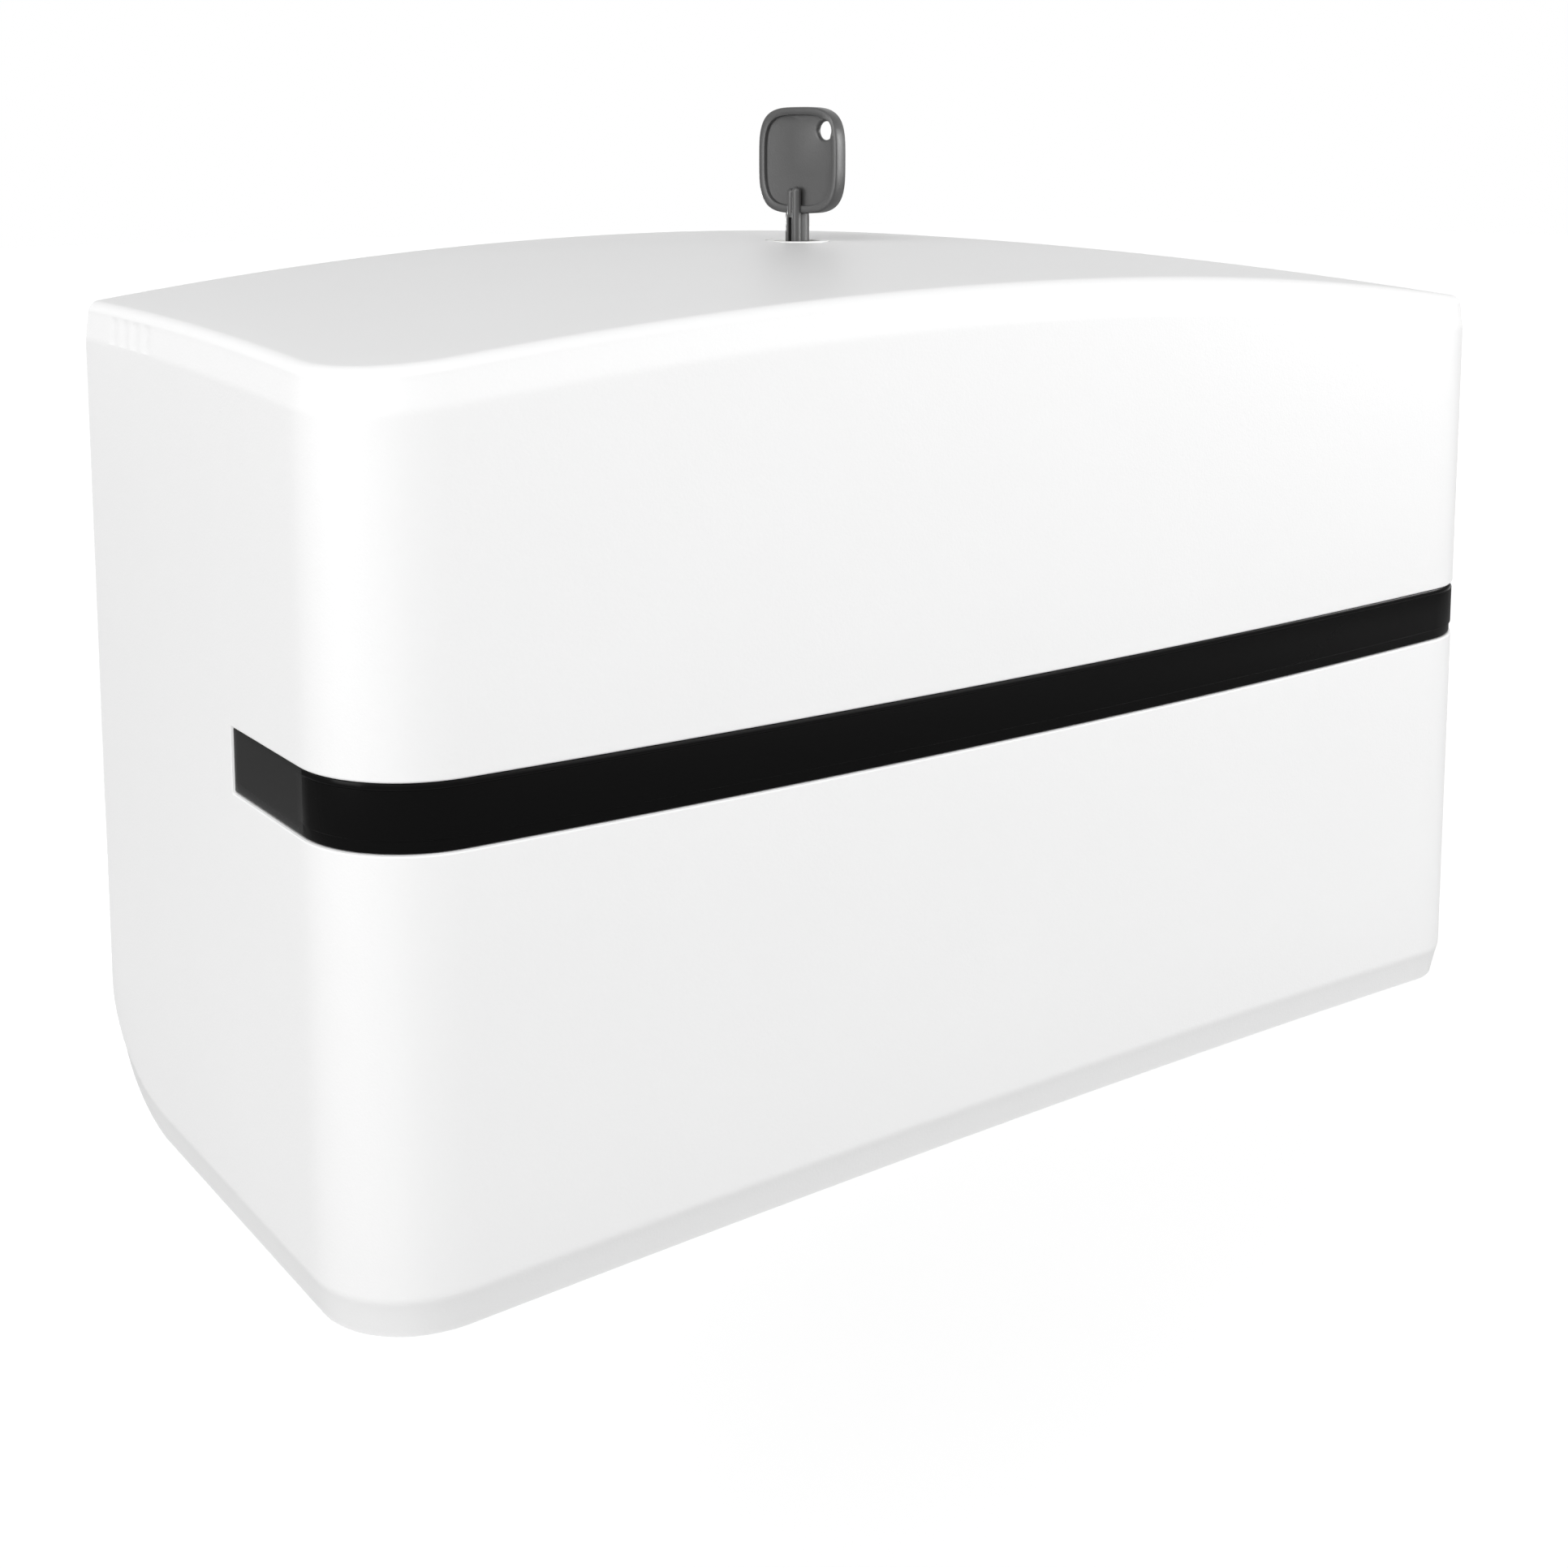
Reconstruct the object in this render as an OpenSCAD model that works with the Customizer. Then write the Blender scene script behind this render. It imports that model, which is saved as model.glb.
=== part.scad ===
// Wall dispenser for two toilet rolls side by side, in millimetres.
// Origin: centre of the wall face. X runs right, Y into the wall, Z up. The front faces -Y.

/* [Body] */
// Width of the cover across its flat sides
body_w = 326; // [322:1:360]
// Height of the cover at its side walls
side_h = 188; // [180:1:210]
// Depth of the cover on the centre line
body_d = 146; // [140:1:160]
// How much higher the roof is at the middle than at the sides
top_rise = 12.4; // [6:0.1:16]
// How much lower the roof is at the front than at the wall
top_drop = 6.1; // [3:0.1:8]
// How far the front bulges at the middle
front_bow = 6.6; // [4:0.1:8]
// How far the lower edge arches up at the middle
bottom_rise = 6.5; // [5:0.1:8]
// Radius of the two front corners in plan
corner_r = 24; // [18:1:30]
// Height of the sloping band round the upper edge
band_h = 8; // [6:0.5:10]
// Radius between that band and the roof
edge_r = 1.9; // [1.5:0.1:2.5]
// Wall thickness of the cover
wall = 3; // [2.5:0.1:3.5]

/* [Window] */
// Height of the smoked level window
window_h = 13.5; // [10:0.5:18]
// Height of the window's lower edge above the origin
window_z = 1; // [-10:0.1:10]
// Distance of the window's two ends from the wall
window_end = 83; // [70:1:100]

/* [Hinge] */
// Distance of the hinge line from the wall
hinge_y = 18.5; // [18.5:0.1:20]
// Height of the hinge line above the lower edge
hinge_up = 18; // [18:0.1:20]
// Diameter of the two hinge pins
hinge_pin_d = 5; // [4:0.5:6]

/* [Lock] */
// Distance of the lock from the wall
lock_y = 50.5; // [48:0.5:54]
// Diameter of the lock's flange
lock_flange_d = 16; // [15:0.5:18]
// Diameter of the turning barrel
barrel_d = 10; // [9:0.5:10.5]
// Width of the key's bow
bow_w = 25; // [22:0.5:28]
// Height of the key's bow
bow_h = 26.3; // [24:0.1:30]
// Bare length of the key's stem between the lock and the bow
stem_show = 6.9; // [5:0.1:10]
// Turn of the key's bow at rest, from square to the front
key_turn = -75; // [-90:1:0]

/* [Rolls] */
// Distance of each spindle from the centre line
spindle_x = 81; // [78:1:84]
// Height of the spindles above the origin
spindle_z = 10; // [6:1:12]
// Length that a hub offers to a roll
roll_w = 100; // [90:1:102]
// Diameter of the fixed spindle posts
post_d = 18; // [16:0.5:20]
// Diameter across a hub's ribs
hub_d = 42; // [40:1:44]

/* [Outlet] */
// Half width of the paper outlet
outlet_x = 90; // [80:1:94]
// Distance of the outlet's rear edge from the wall
outlet_y0 = 33; // [31:1:36]
// Distance of the outlet's front edge from the wall
outlet_y1 = 131; // [126:1:131]
// Distance between the teeth of a tear bar
tooth_pitch = 4; // [3:0.5:5]

/* [Wall plate] */
// Thickness of the wall plate
plate_t = 3; // [2.5:0.5:4]
// Distance between the wall screws across the plate
screws_x = 200; // [180:5:210]
// Distance between the wall screws up the plate
screws_z = 100; // [90:5:110]
// Diameter of the wall screw holes
screw_hole_d = 5.5; // [5:0.1:6.5]

/* [Hidden] */
$fn = 64;

white = "white";
grey = "dimgray";
steel = "lightsteelblue";
far = 400;

// Main levels, the slope of the upper band and the large radii of the crowned faces
z_low = -side_h / 2;
z_peak = side_h / 2 + top_rise;
half_w = body_w / 2;
wall_gap = 0.5;
band_in = 1.3;
big_fn = 360;
function sag_radius(half, sag) = (half * half + sag * sag) / (2 * sag);
roof_rx = sag_radius(half_w, top_rise);
roof_ry = sag_radius(body_d, top_drop);
roof_sweep = [-6, 7];
front_r = sag_radius(half_w, front_bow);
arch_r = sag_radius(half_w, bottom_rise);

// Plan outline: straight sides, round corners tangent to a bowed front
bow_cy = front_r - body_d;
corner_x = half_w - corner_r;
corner_y = bow_cy - sqrt(pow(front_r - corner_r, 2) - pow(corner_x, 2));
corner_end = atan2(corner_y - bow_cy, corner_x);
corner_steps = 10;
bow_steps = 14;
function around(c, r, a) = [c[0] + r * cos(a), c[1] + r * sin(a)];
function right_corner(t) = [
    for (i = [0 : corner_steps]) around([corner_x, corner_y], corner_r - t, corner_end * i / corner_steps)
];
function front_arc(t) = [
    for (i = [1 : bow_steps - 1])
        around([0, bow_cy], front_r - t, corner_end - (180 + 2 * corner_end) * i / bow_steps)
];
function left_corner(t) = [
    for (i = [corner_steps : -1 : 0])
        around([-corner_x, corner_y], corner_r - t, 180 - corner_end * i / corner_steps)
];
function outline(t, back) = concat(
    [[half_w - t, back]], right_corner(t), front_arc(t), left_corner(t), [[t - half_w, back]]
);

// Window strip: a body in the slot, a raised centre and a lip behind the wall
strip_play = 0.1;
strip_inset = 0.5;
step_inset = 0.15;
step_root = 1;
step_low = 2.65;
step_high = 1.4;
lip_t = 1.4;
lip_over = 3;

// Hinge
hinge_z = z_low + hinge_up;
hinge_r = hinge_pin_d / 2;
heel_w = 33;
heel_h = 20;
heel_steps = 16;
lug_x0 = 140;
lug_x1 = 150;
lug_r = 7;
lug_in = 2;
lug_web = 36;
ear_x = 152;
ear_r = 8;
floor_back = hinge_y + 3.5;
pin_end = half_w - wall - 2;
run = 0.05;

// Lock, measured down from the roof at the lock
lock_z = z_peak - (roof_ry - sqrt(roof_ry * roof_ry - lock_y * lock_y));
flange_sink = 1.2;
flange_proud = 0.5;
housing_r = 6.5;
housing_drop = 16;
flange_play = 0.1;
boss_drop = 9;
boss_r = 11;
boss_root = 1.5;
nut_h = 4;
nut_af = 17;
barrel_r = barrel_d / 2;
head_r = barrel_r + 0.8;
head_h = 1.6;
head_sink = 0.3;
head_play = 0.1;
barrel_sink = 0.4;
barrel_drop = 16.5;
socket_drop = 13.4;
socket_pin_sink = 2;
key_drop = 13;
stem_r = 3;
stem_bore_r = 1.6;
stem_slot = 1.3;
bore_end = 1;
slot_end = 1.5;
post_r = 1.15;
post_at = [1.5, -2.2];
post_up = 5.5;
bow_shift = 1.4;
bow_t = 4;
bow_web = 1.8;
bow_rim = 2;
bow_corner = 9;
eyelet_r = 2.3;
eyelet_at = [7.9, 7.3];
cam_t = 3;
cam_reach = 14;
cam_w = 8;
cam_lip = 3;
cam_lip_h = 10.5;
square_w = 5;
square_play = 0.1;
key_play = 0.1;
cam_washer_r = 4.5;
cam_washer_t = 0.8;
cam_screw_in = 1.4;

// Striker on the wall plate
striker_w = 14;
striker_wall_w = 12;
striker_y = lock_y - 7;
striker_t = 2.5;
striker_top = lock_z - 24.7;
striker_beam_z = striker_top - 10;
striker_beam_h = 7;
striker_foot = [36, 24];
striker_foot_drop = 8;
striker_bolt = [13, 4];
foot_t = 3;

// Spindles and hubs, measured out from the wall
pad_out = 9;
spindle_flange_t = 4;
spindle_flange_r = 27;
flange_out = pad_out + spindle_flange_t;
washer_t = 1.5;
washer_r = 17;
hub_start = flange_out + washer_t + 0.5;
hub_disc_t = 2.5;
hub_disc_r = 34;
hub_sleeve_r = 15;
hub_end = hub_start + hub_disc_t + roll_w;
hub_rib_t = 3;
hub_ribs = 6;
cap_t = 3.5;
cap_r = 13;
cap_screw_in = 11;
spindle_end = hub_end + 0.5;
spindle_bolts_r = 21;
spindle_bolts = 3;
function bolt_at(side, i) =
    around([side * spindle_x, spindle_z], spindle_bolts_r, 90 + 360 * i / spindle_bolts);

// Screws
thread_r = 1.5;
screw_head_r = 2.8;
screw_head_h = 2;

// Outlet frame, shutter and tear bars
frame_x = 108;
frame_y0 = 26;
frame_y1 = 138.5;
frame_top = z_low + 17;
floor_x = 98;
side_under = z_low + 9.5;
shutter_t = 2;
shutter_z = z_low + 11.5;
shutter_gap = 1;
shutter_play = 0.5;
shutter_w = outlet_x - 2 * shutter_gap;
groove = 3.5;
groove_gap = 0.3;
tear_t = 1.4;
tear_tip = 6;
tear_y0 = 36;
tear_y1 = 128;
knob_r = 7;
knob_h = 8;
tear_screws_y = [52, 112];
frame_screws_at = [[103, 29.5], [103, 135]];
frame_screw_z = z_low + 5;
tear_back = 7;
tear_screw_in = 4;
tear_screw_h = 6;
knob_stem_r = 3;
knob_rivet_r = 4.5;
knob_rivet_h = 1.2;

// Wall plate
plate_gap = 3;
plate_x = 158;
plate_low = hinge_z + 10;
plate_corner = 10;
rim_t = 2.5;
rim_out = 14;
rim_low = hinge_z + 26;
plate_steps = 12;
stop_x = 100;
stop_w = 10;
stop_out = 9;
stop_h = 22;
stop_low = hinge_z - 4;
seat_r = 8;
seat_out = 6;
pad_r = 30;
rib_x = 153;
rib_w = 2;
rib_out = 2.5;
rib_levels = [-62, 46];

// Divider between the rolls
divider_t = 2.5;
divider_z0 = -54;
divider_z1 = 36;
divider_out = 115;
divider_r = 18;
divider_foot = 20;
divider_bolt_x = -6.5;
divider_bolts_z = [divider_z0 + 12, divider_z1 - 12];

// Lays a flat drawing upright: its x stays X, its y becomes Z, and it is thickened from the wall outwards
module upright(from, to)
    translate([0, -from, 0])
        rotate([90, 0, 0])
            linear_extrude(height = to - from)
                children();

// Lays a flat drawing across: its x becomes Y, its y becomes Z, and it is thickened along X
module across(from, to)
    translate([from, 0, 0])
        rotate([90, 0, 90])
            linear_extrude(height = to - from)
                children();

// Round bar along X through the hinge line
module hinge_bar(r, from, to)
    translate([from, -hinge_y, hinge_z])
        rotate([0, 90, 0])
            cylinder(r = r, h = to - from);

// Round bar along Y, from one distance out of the wall to another
module out_bar(x, z, r, from, to)
    translate([x, -from, z])
        rotate([90, 0, 0])
            cylinder(r = r, h = to - from);

// Everything under the roof, lowered by drop: a barrel surface bent in both directions
module under_roof(drop)
    translate([0, 0, z_peak - roof_ry])
        rotate([0, -90, 0])
            rotate([0, 0, roof_sweep[0]])
                rotate_extrude(angle = roof_sweep[1], $fn = big_fn)
                    intersection() {
                        translate([roof_ry - roof_rx, 0])
                            circle(r = roof_rx - drop, $fn = big_fn);
                        translate([roof_ry - far, -half_w])
                            square([far, body_w]);
                    }

// Part of the cover's form: its walls moved in by inset, its top lowered by drop
module cover_slice(inset, drop, floor_up, back)
    intersection() {
        translate([0, 0, z_low + floor_up])
            linear_extrude(height = side_h + top_rise)
                polygon(outline(inset, back));
        under_roof(drop);
    }

// The cover's solid form, moved in by inset: upright walls, a sloping band, and a rounded edge
module cover_form(inset, back)
    hull() {
        cover_slice(inset, band_h, inset, back);
        for (a = [0 : 30 : 90])
            cover_slice(
                inset + band_in + edge_r * (1 - cos(a)), inset + edge_r * (1 - sin(a)), inset, back
            );
    }

// The arched space under the floor, raised by lift
module arch(lift)
    translate([0, far / 2, z_low + bottom_rise - arch_r])
        rotate([90, 0, 0])
            cylinder(r = arch_r + lift, h = far, $fn = 2 * big_fn);

// A band that follows the cover's wall between two insets, as far back as the window goes
module wall_band(outer, inner, from, to, end)
    translate([0, 0, from])
        linear_extrude(height = to - from)
            difference() {
                polygon(outline(outer, 0));
                polygon(outline(inner, 1));
                translate([-half_w - 2, -end])
                    square([body_w + 4, end + 2]);
            }

// Rounded rectangle centred on the origin
module round_rect(w, h, r)
    union() {
        square([w - 2 * r, h], center = true);
        square([w, h - 2 * r], center = true);
        for (x = [-1, 1], y = [-1, 1])
            translate([x * (w / 2 - r), y * (h / 2 - r)])
                circle(r = r);
    }

// Screw along Y from the front: head outermost, shank towards the wall
module wall_side_screw(x, z, seat, tip) {
    out_bar(x, z, thread_r, tip, seat);
    out_bar(x, z, screw_head_r, seat, seat + screw_head_h);
}

// Front view of the wall plate: straight sides and a top edge parallel to the roof
function plate_top(x, t) = z_peak - wall - plate_gap - t - (roof_rx - sqrt(roof_rx * roof_rx - x * x));
function plate_edge(t) = concat(
    [[t - plate_x, plate_low + t], [plate_x - t, plate_low + t]],
    [for (a = [0 : 15 : 75]) around(
        [plate_x - plate_corner, plate_top(plate_x - plate_corner, 0) - plate_corner],
        plate_corner - t, a
    )],
    [for (i = [0 : plate_steps])
        let (x = (plate_x - plate_corner) * (1 - 2 * i / plate_steps)) [x, plate_top(x, t)]],
    [for (a = [105 : 15 : 180]) around(
        [plate_corner - plate_x, plate_top(plate_x - plate_corner, 0) - plate_corner],
        plate_corner - t, a
    )]
);

module hinge_lug(x)
    across(x, x + lug_x1 - lug_x0)
        union() {
            translate([-hinge_y, hinge_z])
                circle(r = lug_r);
            polygon([
                [lug_in - hinge_y - lug_r, hinge_z], [-plate_t / 2, hinge_z],
                [-plate_t / 2, hinge_z + lug_web], [-hinge_y - lug_in, hinge_z + lug_r - lug_in]
            ]);
        }

module rear_chassis()
    color(white)
        difference() {
            union() {
                upright(0, plate_t)
                    polygon(plate_edge(0));
                intersection() {
                    upright(0, rim_out)
                        difference() {
                            polygon(plate_edge(0));
                            polygon(plate_edge(rim_t));
                        }
                    translate([-far / 2, -far / 2, rim_low])
                        cube([far, far, far]);
                }
                for (x = [-lug_x1, lug_x0])
                    hinge_lug(x);
                for (x = [-stop_x, stop_x])
                    translate([x - stop_w / 2, -stop_out, stop_low])
                        cube([stop_w, stop_out, stop_h]);
                for (x = [-1, 1], z = [-1, 1])
                    out_bar(x * screws_x / 2, z * screws_z / 2, seat_r, plate_t / 2, seat_out);
                for (x = [-1, 1])
                    out_bar(x * spindle_x, spindle_z, pad_r, plate_t / 2, pad_out);
                for (z = rib_levels)
                    translate([-rib_x, -plate_t - rib_out, z])
                        cube([2 * rib_x, rib_out + plate_t / 2, rib_w]);
            }
            for (x = [-lug_x1 - 1, lug_x0 - 1])
                hinge_bar(hinge_r, x, x + lug_x1 - lug_x0 + 2);
            for (x = [-1, 1], z = [-1, 1])
                out_bar(x * screws_x / 2, z * screws_z / 2, screw_hole_d / 2, -1, 10);
            for (s = [-1, 1], i = [0 : spindle_bolts - 1])
                let (p = bolt_at(s, i))
                    out_bar(p[0], p[1], thread_r, 1, far);
            for (x = [-1, 1])
                out_bar(x * striker_bolt[0], striker_beam_z + striker_bolt[1], thread_r, 1, plate_t + 1);
            for (z = divider_bolts_z)
                out_bar(divider_bolt_x, z, thread_r, 1, plate_t + 1);
        }

// The cover's lower rear corner seen from the side, a quarter ellipse
function heel() = [
    for (a = [0 : 90 / heel_steps : 90])
        [-wall_gap - heel_w * (1 - cos(a)), z_low + heel_h * (1 - sin(a))]
];

module front_cover()
    color(white)
        difference() {
            union() {
                difference() {
                    cover_form(0, -wall_gap);
                    difference() {
                        cover_form(wall, 5);
                        arch(wall);
                    }
                    arch(0);
                    translate([-half_w + wall, -floor_back, z_low - 1])
                        cube([body_w - 2 * wall, floor_back + 1, hinge_up + lug_r]);
                }
                translate([0, -lock_y, lock_z - boss_drop])
                    cylinder(r = boss_r, h = boss_drop - boss_root);
                hinge_bar(ear_r, ear_x, half_w - 1);
                hinge_bar(ear_r, 1 - half_w, -ear_x);
            }
            across(-half_w - 1, half_w + 1)
                polygon(concat(
                    heel(), [[-wall_gap - heel_w, z_low - 1], [1, z_low - 1], [1, z_low + heel_h]]
                ));
            hinge_bar(hinge_r + run, ear_x - 1, pin_end + 0.5);
            hinge_bar(hinge_r + run, -pin_end - 0.5, 1 - ear_x);
            wall_band(-1, wall + 1, window_z, window_z + window_h, window_end);
            translate([-floor_x, -outlet_y1, z_low - 1])
                cube([2 * floor_x, outlet_y1 - outlet_y0, 20]);
            translate([0, -lock_y, lock_z - boss_drop - 1])
                cylinder(r = housing_r, h = boss_drop + 5);
            translate([0, -lock_y, lock_z - flange_sink])
                cylinder(r = lock_flange_d / 2, h = 5);
            for (x = [-1, 1], p = frame_screws_at)
                translate([x * p[0], -p[1], frame_screw_z])
                    cylinder(r = thread_r, h = frame_top - frame_screw_z);
        }

module window_strip()
    color("black")
        union() {
            wall_band(
                strip_inset, wall, window_z + strip_play, window_z + window_h - strip_play,
                window_end + strip_play
            );
            wall_band(
                step_inset, step_root, window_z + step_low, window_z + window_h - step_high,
                window_end + step_high
            );
            wall_band(
                wall, wall + lip_t, window_z - lip_over, window_z + window_h + lip_over,
                window_end - lip_over
            );
        }

module hinge_pins()
    color(steel)
        for (x = [lug_x0 - 1, -pin_end])
            hinge_bar(hinge_r, x, x + pin_end - lug_x0 + 1);

module lock_housing()
    color(white)
        translate([0, -lock_y, lock_z])
            difference() {
                union() {
                    translate([0, 0, -flange_sink])
                        cylinder(r = lock_flange_d / 2 - flange_play, h = flange_sink + flange_proud);
                    translate([0, 0, -housing_drop])
                        cylinder(r = housing_r, h = housing_drop);
                }
                translate([0, 0, -housing_drop - 1])
                    cylinder(r = barrel_r + run, h = housing_drop + 5);
                translate([0, 0, -head_sink - head_h])
                    cylinder(r = head_r + flange_play, h = 5);
            }

module lock_nut()
    color(steel)
        translate([0, -lock_y, lock_z - boss_drop - nut_h])
            difference() {
                cylinder(r = nut_af / sqrt(3), h = nut_h, $fn = 6);
                translate([0, 0, -1])
                    cylinder(r = housing_r, h = nut_h + 2);
            }

// The keyway's outline, which the key's stem fills with play to spare
module keyway(play)
    union() {
        circle(r = stem_r + play);
        translate(post_at)
            circle(r = post_r + play);
    }

module lock_barrel()
    color(grey)
        translate([0, -lock_y, lock_z])
            rotate([0, 0, key_turn])
                union() {
                    difference() {
                        union() {
                            translate([0, 0, -barrel_drop])
                                cylinder(r = barrel_r, h = barrel_drop - barrel_sink);
                            translate([0, 0, head_play - head_sink - head_h])
                                cylinder(r = head_r, h = head_h + head_sink - head_play - barrel_sink);
                            translate([-square_w / 2, -square_w / 2, square_play - barrel_drop - cam_t])
                                cube([square_w, square_w, cam_t + 1]);
                        }
                        translate([0, 0, -socket_drop])
                            linear_extrude(height = socket_drop + 1)
                                keyway(key_play);
                        translate([0, 0, -barrel_drop - cam_t - 1])
                            cylinder(r = thread_r, h = cam_t + cam_screw_in + 1);
                    }
                    translate([0, 0, -socket_drop - 0.5])
                        cylinder(r = stem_bore_r - key_play, h = socket_drop - socket_pin_sink);
                }

module lock_cam()
    color(steel)
        translate([0, -lock_y, lock_z - barrel_drop - cam_t])
            difference() {
                union() {
                    cylinder(r = cam_w, h = cam_t);
                    translate([0, -cam_w / 2, 0])
                        cube([cam_reach, cam_w, cam_t]);
                    translate([cam_reach - cam_lip, -cam_w / 2, cam_t - cam_lip_h])
                        cube([cam_lip, cam_w, cam_lip_h]);
                }
                rotate([0, 0, key_turn])
                    translate([-square_w / 2, -square_w / 2, -1])
                        cube([square_w, square_w, cam_t + 2]);
            }

module cam_screw()
    color(steel)
        translate([0, -lock_y, lock_z - barrel_drop - cam_t])
            union() {
                cylinder(r = thread_r, h = cam_t + cam_screw_in);
                translate([0, 0, -cam_washer_t])
                    cylinder(r = cam_washer_r, h = cam_washer_t);
                translate([0, 0, -cam_washer_t - screw_head_h])
                    cylinder(r = screw_head_r, h = screw_head_h);
            }

module key_bow()
    translate([bow_shift, 0, stem_show + bow_h / 2])
        rotate([90, 0, 0])
            difference() {
                translate([0, 0, -bow_t / 2])
                    linear_extrude(height = bow_t)
                        round_rect(bow_w, bow_h, bow_corner);
                for (z = [-bow_t, bow_web / 2])
                    translate([0, 0, z])
                        linear_extrude(height = bow_t - bow_web / 2)
                            round_rect(bow_w - 2 * bow_rim, bow_h - 2 * bow_rim, bow_corner - bow_rim);
                translate([eyelet_at[0], eyelet_at[1], -bow_t])
                    cylinder(r = eyelet_r, h = 2 * bow_t);
            }

module key()
    color(grey)
        translate([0, -lock_y, lock_z])
            rotate([0, 0, key_turn])
                union() {
                    key_bow();
                    difference() {
                        translate([0, 0, -key_drop])
                            cylinder(r = stem_r, h = key_drop + stem_show + 1);
                        translate([0, 0, -key_drop - 1])
                            cylinder(r = stem_bore_r, h = key_drop + stem_show - bore_end);
                        translate([-stem_slot / 2, -stem_r - 1, -key_drop - 1])
                            cube([stem_slot, stem_r, key_drop + stem_show + 1 - slot_end]);
                    }
                    translate([post_at[0], post_at[1], -key_drop])
                        cylinder(r = post_r, h = key_drop + stem_show + post_up);
                    translate([post_at[0], post_at[1], stem_show + post_up])
                        sphere(r = post_r);
                }

module lock_striker()
    color(grey)
        difference() {
            union() {
                translate([-striker_foot[0] / 2, -plate_t - foot_t, striker_beam_z - striker_foot_drop])
                    cube([striker_foot[0], foot_t, striker_foot[1]]);
                translate([-striker_w / 2, -striker_y - striker_t, striker_beam_z - striker_beam_h])
                    cube([striker_w, striker_y + striker_t - plate_t, striker_beam_h]);
                translate([-striker_wall_w / 2, -striker_y - striker_t, striker_beam_z - 1])
                    cube([striker_wall_w, striker_t, striker_top - striker_beam_z + 1]);
            }
            for (x = [-1, 1])
                out_bar(x * striker_bolt[0], striker_beam_z + striker_bolt[1], thread_r, 0, far);
        }

module striker_screws()
    color(steel)
        for (x = [-1, 1])
            wall_side_screw(x * striker_bolt[0], striker_beam_z + striker_bolt[1], plate_t + foot_t, 1);

module spindle(side)
    color(grey)
        difference() {
            union() {
                out_bar(side * spindle_x, spindle_z, spindle_flange_r, pad_out, flange_out);
                out_bar(side * spindle_x, spindle_z, post_d / 2, pad_out, spindle_end);
            }
            for (i = [0 : spindle_bolts - 1])
                let (p = bolt_at(side, i))
                    union() {
                        out_bar(p[0], p[1], thread_r, pad_out - 1, flange_out + 1);
                        out_bar(p[0], p[1], screw_head_r, flange_out - screw_head_h, flange_out + 1);
                    }
            out_bar(side * spindle_x, spindle_z, thread_r, spindle_end - cap_screw_in - 1, spindle_end + 1);
        }

module spindle_screws()
    color(steel)
        for (s = [-1, 1], i = [0 : spindle_bolts - 1])
            let (p = bolt_at(s, i))
                wall_side_screw(p[0], p[1], flange_out - screw_head_h, 1);

module roll_hub(side)
    color(white)
        difference() {
            union() {
                out_bar(side * spindle_x, spindle_z, hub_disc_r, hub_start, hub_start + hub_disc_t);
                out_bar(side * spindle_x, spindle_z, hub_sleeve_r, hub_start, hub_end);
                translate([side * spindle_x, -hub_start, spindle_z])
                    rotate([90, 0, 0])
                        for (i = [0 : hub_ribs - 1])
                            rotate([0, 0, 360 * i / hub_ribs])
                                translate([hub_sleeve_r - 2, -hub_rib_t / 2, 0])
                                    cube([hub_d / 2 - hub_sleeve_r + 2, hub_rib_t, roll_w]);
            }
            out_bar(side * spindle_x, spindle_z, post_d / 2 + run, hub_start - 1, hub_end + 1);
        }

module brake_washer(side)
    color("black")
        difference() {
            out_bar(side * spindle_x, spindle_z, washer_r, flange_out, flange_out + washer_t);
            out_bar(side * spindle_x, spindle_z, post_d / 2, flange_out - 1, flange_out + washer_t + 1);
        }

module spindle_cap(side)
    color(grey)
        difference() {
            out_bar(side * spindle_x, spindle_z, cap_r, spindle_end, spindle_end + cap_t);
            out_bar(side * spindle_x, spindle_z, thread_r, spindle_end - 1, spindle_end + cap_t + 1);
            out_bar(
                side * spindle_x, spindle_z, screw_head_r,
                spindle_end + cap_t - screw_head_h, spindle_end + cap_t + 1
            );
        }

module cap_screws()
    color(steel)
        for (s = [-1, 1])
            wall_side_screw(
                s * spindle_x, spindle_z, spindle_end + cap_t - screw_head_h, spindle_end - cap_screw_in
            );

module centre_divider()
    color(white)
        difference() {
            union() {
                across(-divider_t / 2, divider_t / 2)
                    union() {
                        translate([-divider_out, divider_z0 + divider_r])
                            square([divider_out - plate_t, divider_z1 - divider_z0 - 2 * divider_r]);
                        translate([divider_r - divider_out, divider_z0])
                            square([divider_out - divider_r - plate_t, divider_z1 - divider_z0]);
                        for (z = [divider_z0 + divider_r, divider_z1 - divider_r])
                            translate([divider_r - divider_out, z])
                                circle(r = divider_r);
                    }
                translate([-divider_foot / 2, -plate_t - foot_t, divider_z0])
                    cube([divider_foot, foot_t, divider_z1 - divider_z0]);
            }
            for (z = divider_bolts_z)
                out_bar(divider_bolt_x, z, thread_r, 0, far);
        }

module divider_screws()
    color(steel)
        for (z = divider_bolts_z)
            wall_side_screw(divider_bolt_x, z, plate_t + foot_t, 1);

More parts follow.
